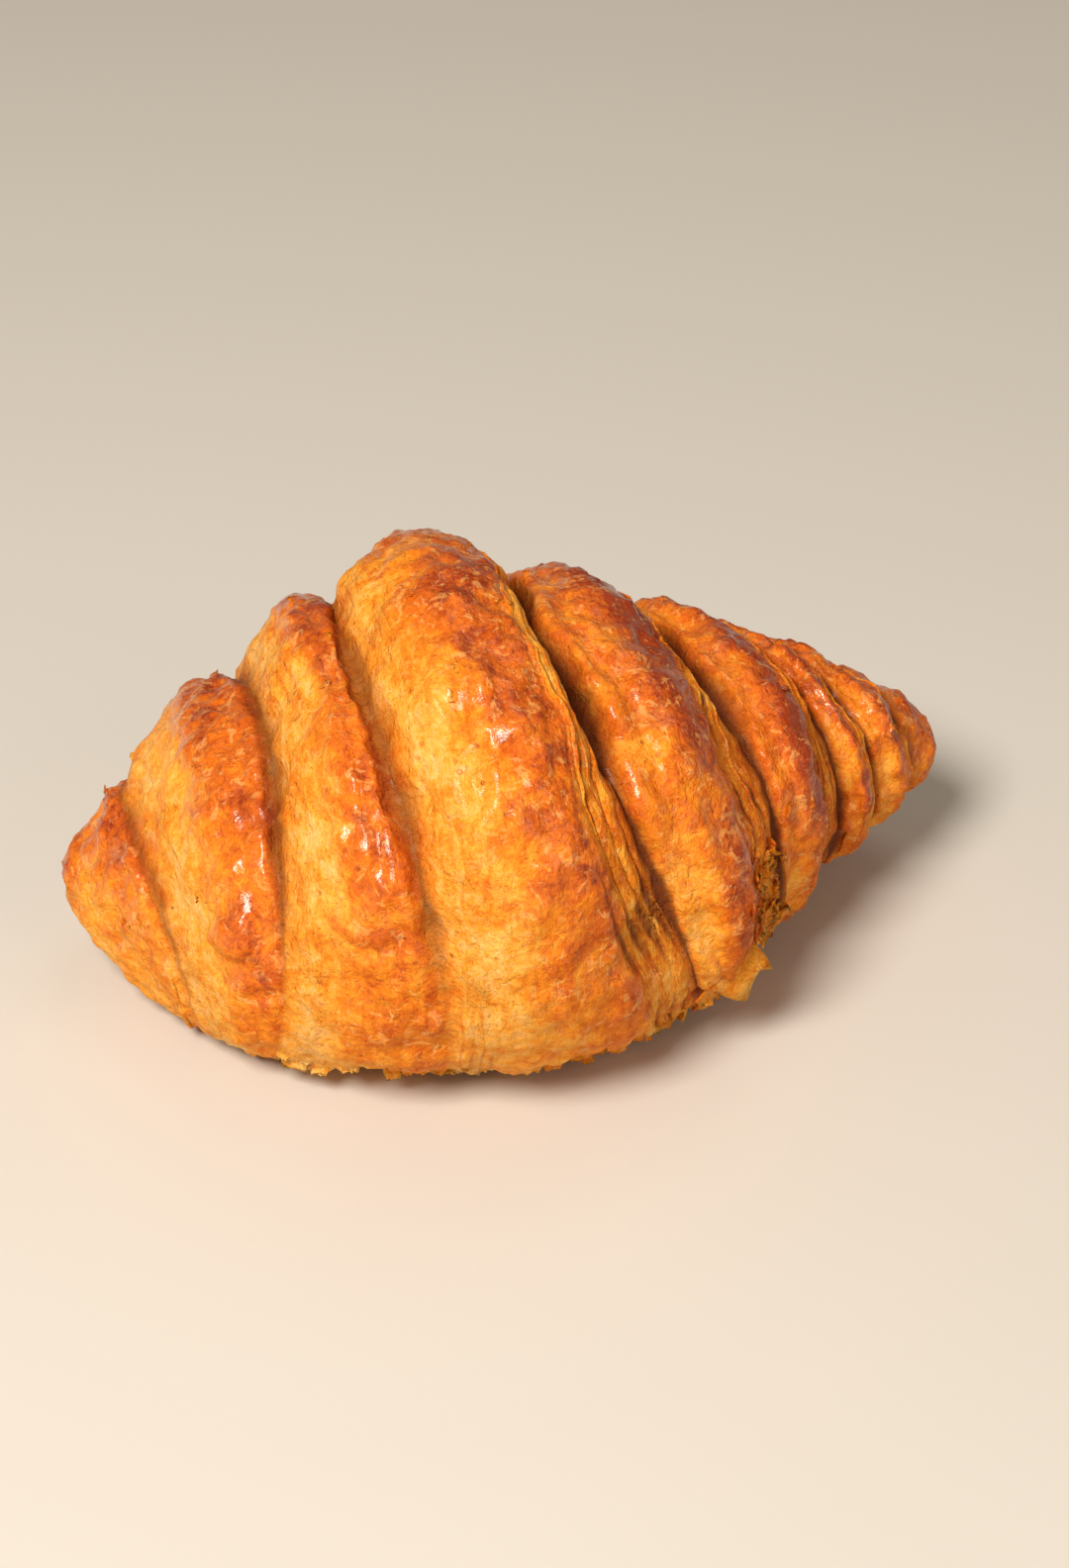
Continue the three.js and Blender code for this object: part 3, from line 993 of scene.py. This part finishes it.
def crust_finish(finish):
    """Egg-washed crust: brown on the crests, gold on the flanks, pale on the torn layers."""
    material = bpy.data.materials.new("baked_crust")
    n = Nodes(material)
    pattern = crust_patterns(n)
    baked = crust_bake(n, pattern, finish.bake_shift)
    glaze = crust_glaze(n, pattern, baked)
    normal, glaze_normal = crust_normals(n, pattern)
    shade = n.add("ShaderNodeBsdfPrincipled")
    for name, source in (
        ("Base Color", crust_colour(n, pattern, finish, baked)),
        ("Roughness", n.total(n.span(glaze, 0, 1, 0.66, 0.38), (pattern.mottle, 0.5, 0.5))),
        ("Coat Weight", glaze), ("Normal", normal), ("Coat Normal", glaze_normal),
    ):
        n.join(source, shade.inputs[name])
    n.settle(shade, {
        "Coat Roughness": 0.15, "Coat IOR": 1.45, "Specular IOR Level": 0.18,
        "Subsurface Weight": 0.2, "Subsurface Radius": (1.0, 0.35, 0.08),
        "Subsurface Scale": 0.003,
    })
    n.join(shade.outputs[0], n.add("ShaderNodeOutputMaterial").inputs["Surface"])
    return material


# ---------------- settings and operators
def colour_setting(name, description, red, green, blue):
    """A colour setting given as it shows on screen."""
    return bpy.props.FloatVectorProperty(
        name=name, description=description, subtype="COLOR_GAMMA", size=3, min=0, max=1,
        default=(red / 255, green / 255, blue / 255),
    )


def height_setting(name, description, default):
    """A height or depth setting, in mm."""
    return bpy.props.FloatProperty(
        name=name, description=description + ", mm", default=default, min=0)


def angle_setting(name, description, degrees):
    return bpy.props.FloatProperty(
        name=name, description=description, default=math.radians(degrees), subtype="ANGLE")


def count_setting(name, description, default, least, most=1000):
    """A setting that counts something."""
    return bpy.props.IntProperty(
        name=name, description=description, default=default, min=least, max=most)


class CrustSettings(bpy.types.PropertyGroup):
    """Shape of the crust"""

    columns: count_setting("Columns", "Points round the roll", 204, 60, 260)
    lumps: height_setting("Lumps", "Height of the broad lumps", 1.7)
    dents: height_setting("Dents", "Height of the dents between them", 0.8)
    wrinkles: height_setting("Wrinkles", "Depth of the wrinkles in the glaze", 1.1)
    blisters: height_setting("Blisters", "Height of the blisters in the glaze", 0.8)
    stretch: height_setting("Stretch marks", "Height of the lines round the roll", 0.8)
    foot: height_setting("Ragged foot", "How far the lower edge spreads", 1.1)


class FlakeSettings(bpy.types.PropertyGroup):
    """How many loose flakes there are"""

    scales: count_setting("Scales", "Small flakes of glaze over the tiers", 110, 1)
    foot_flakes: count_setting("Foot flakes", "Flakes round the lower edge", 240, 0)
    crumbs: count_setting("Crumbs", "Crumbs in the rough patch", 90, 0)


class FinishSettings(bpy.types.PropertyGroup):
    """How far the crust is baked, and its colours"""

    bake_shift: bpy.props.FloatProperty(
        name="Bake", description="Longer bake above 0, shorter below", default=0.0, min=-0.5,
        max=0.5)
    pale: colour_setting("Pale", "Barely baked dough", 255, 194, 110)
    gold: colour_setting("Gold", "Lightly baked dough", 251, 171, 58)
    amber: colour_setting("Amber", "Egg wash on the flanks", 238, 138, 24)
    orange: colour_setting("Orange", "Egg wash on the crests", 218, 106, 12)
    brown: colour_setting("Brown", "Well baked crests", 190, 84, 14)
    dark: colour_setting("Dark", "Darkest spots", 158, 56, 7)


class StageSettings(bpy.types.PropertyGroup):
    """The camera and the floor"""

    azimuth: angle_setting("Azimuth", "Where the camera stands, from the front", -13.6)
    elevation: angle_setting("Elevation", "How steeply the camera looks down", 34.5)
    distance: bpy.props.FloatProperty(
        name="Distance", description="Camera to croissant", default=0.644, unit="LENGTH")
    lens: bpy.props.FloatProperty(
        name="Lens", description="Focal length, mm", default=90, min=20)
    floor_colour: bpy.props.FloatVectorProperty(
        name="Floor colour", description="Colour of the floor", subtype="COLOR",
        size=3, default=(0.64, 0.635, 0.62), min=0, max=1)


# Studio lights. azimuth, elevation: degrees from the front. distance, size: metres.
Light = namedtuple("Light", "name azimuth elevation distance size watts colour")
LIGHTS = (
    Light("key_light", -42, 49, 1.1, 0.42, 15.5, (1.0, 0.89, 0.76)),
    Light("fill_light", 34, 30, 1.4, 0.9, 3.0, (1.0, 0.84, 0.66)),
    Light("top_light", 140, 68, 1.3, 0.7, 1.6, (1.0, 0.84, 0.62)),
)
ROOM_COLOUR = (1, 0.86, 0.70, 1)
ROOM_STRENGTH = 0.20
FLOOR_HALF = 3.0
FLOOR_ROUGHNESS = 0.85
SENSOR_WIDTH = 36


class CROISSANT_OT_crust(bpy.types.Operator):
    """Shape the crust and give it its baked finish"""

    bl_idname = "croissant.build_crust"
    bl_label = "Build crust"

    def execute(self, context):
        scene = context.scene
        points, normals, facts = shape_crust(scene.croissant_crust)
        marks = skin_marks(points, normals, facts)
        build_skin(points, marks, crust_finish(scene.croissant_finish))
        return {"FINISHED"}


class CROISSANT_OT_flakes(bpy.types.Operator):
    """Lay loose flakes, torn layers and crumbs on the crust"""

    bl_idname = "croissant.build_flakes"
    bl_label = "Build flakes"

    def execute(self, context):
        scene = context.scene
        settings = scene.croissant_flakes
        points, normals, facts = shape_crust(scene.croissant_crust)
        skin = (points, normals, skin_marks(points, normals, facts))
        sheets = scattered_flakes(skin, facts, settings)
        sheets += foot_flakes(skin, facts, settings)
        sheets += torn_layers(skin, facts)
        sheets += crumbs(skin, facts, settings)
        sheets += big_flaps(skin, facts)
        material = bpy.data.materials.get("baked_crust") or crust_finish(scene.croissant_finish)
        build_flakes(sheets, points, material)
        return {"FINISHED"}


class CROISSANT_OT_stage(bpy.types.Operator):
    """Lay the floor, hang the studio lights and place the camera"""

    bl_idname = "croissant.build_stage"
    bl_label = "Build stage"

    def execute(self, context):
        scene = context.scene
        settings = scene.croissant_stage
        centre = (BOX_LOW + BOX_HIGH) / 2
        lay_floor(settings, BOX_LOW.z)
        for light in LIGHTS:
            hang_light(light, centre)

        world = bpy.data.worlds.new("studio")
        world.use_nodes = True
        background = world.node_tree.nodes["Background"]
        background.inputs["Color"].default_value = ROOM_COLOUR
        background.inputs["Strength"].default_value = ROOM_STRENGTH
        scene.world = world
        scene.view_settings.view_transform = "Standard"

        camera_data = bpy.data.cameras.new("camera")
        camera_data.lens = settings.lens
        camera_data.sensor_width = SENSOR_WIDTH
        camera = bpy.data.objects.new("camera", camera_data)
        scene.collection.objects.link(camera)
        place_looking_at(
            camera, centre, math.degrees(settings.azimuth),
            math.degrees(settings.elevation), settings.distance,
        )
        scene.camera = camera
        return {"FINISHED"}


def lay_floor(settings, height):
    """The plain pale floor that the croissant rests on."""
    mesh = bpy.data.meshes.new("studio_floor")
    corners = [
        (x * FLOOR_HALF, y * FLOOR_HALF, height) for x, y in ((-1, -1), (1, -1), (1, 1), (-1, 1))
    ]
    mesh.from_pydata(corners, [], [(0, 1, 2, 3)])
    floor = bpy.data.objects.new("studio_floor", mesh)
    bpy.context.scene.collection.objects.link(floor)
    material = bpy.data.materials.new("floor_paper")
    n = Nodes(material)
    shade = n.add("ShaderNodeBsdfPrincipled")
    n.settle(shade, {"Base Color": (*settings.floor_colour, 1), "Roughness": FLOOR_ROUGHNESS})
    n.join(shade.outputs[0], n.add("ShaderNodeOutputMaterial").inputs["Surface"])
    mesh.materials.append(material)


def hang_light(light, target):
    """A round soft light turned to the croissant."""
    data = bpy.data.lights.new(light.name, "AREA")
    data.shape = "DISK"
    data.size = light.size
    data.energy = light.watts
    data.color = light.colour
    lamp = bpy.data.objects.new(light.name, data)
    bpy.context.scene.collection.objects.link(lamp)
    place_looking_at(lamp, target, light.azimuth, light.elevation, light.distance)


def place_looking_at(thing, target, azimuth, elevation, distance):
    """Stand a camera or light off from target, azimuth degrees from the front, looking at it."""
    a, e = math.radians(azimuth), math.radians(elevation)
    away = Vector((math.sin(a) * math.cos(e), -math.cos(a) * math.cos(e), math.sin(e)))
    thing.location = target + away * distance
    thing.rotation_euler = (-away).to_track_quat("-Z", "Y").to_euler()


class CROISSANT_PT_panel(bpy.types.Panel):
    """Every setting, with the button that builds from it"""

    bl_idname = "CROISSANT_PT_panel"
    bl_label = "Croissant"
    bl_space_type = "VIEW_3D"
    bl_region_type = "UI"
    bl_category = "Croissant"

    def draw(self, context):
        column = self.layout.column()
        for group, operator in (
            ("croissant_crust", CROISSANT_OT_crust), ("croissant_flakes", CROISSANT_OT_flakes),
            ("croissant_finish", None), ("croissant_stage", CROISSANT_OT_stage),
        ):
            settings = getattr(context.scene, group)
            for name in settings.__annotations__:
                column.prop(settings, name)
            if operator:
                column.operator(operator.bl_idname)


GROUPS = {
    "croissant_crust": CrustSettings, "croissant_flakes": FlakeSettings,
    "croissant_finish": FinishSettings, "croissant_stage": StageSettings,
}
CLASSES = (
    *GROUPS.values(), CROISSANT_OT_crust, CROISSANT_OT_flakes, CROISSANT_OT_stage,
    CROISSANT_PT_panel,
)


def register():
    for cls in CLASSES:
        bpy.utils.register_class(cls)
    for name, group in GROUPS.items():
        setattr(bpy.types.Scene, name, bpy.props.PointerProperty(type=group))


def unregister():
    for name in GROUPS:
        delattr(bpy.types.Scene, name)
    for cls in reversed(CLASSES):
        bpy.utils.unregister_class(cls)


def main():
    register()
    bpy.ops.croissant.build_crust()
    bpy.ops.croissant.build_flakes()
    bpy.ops.croissant.build_stage()


if __name__ == "__main__":
    main()
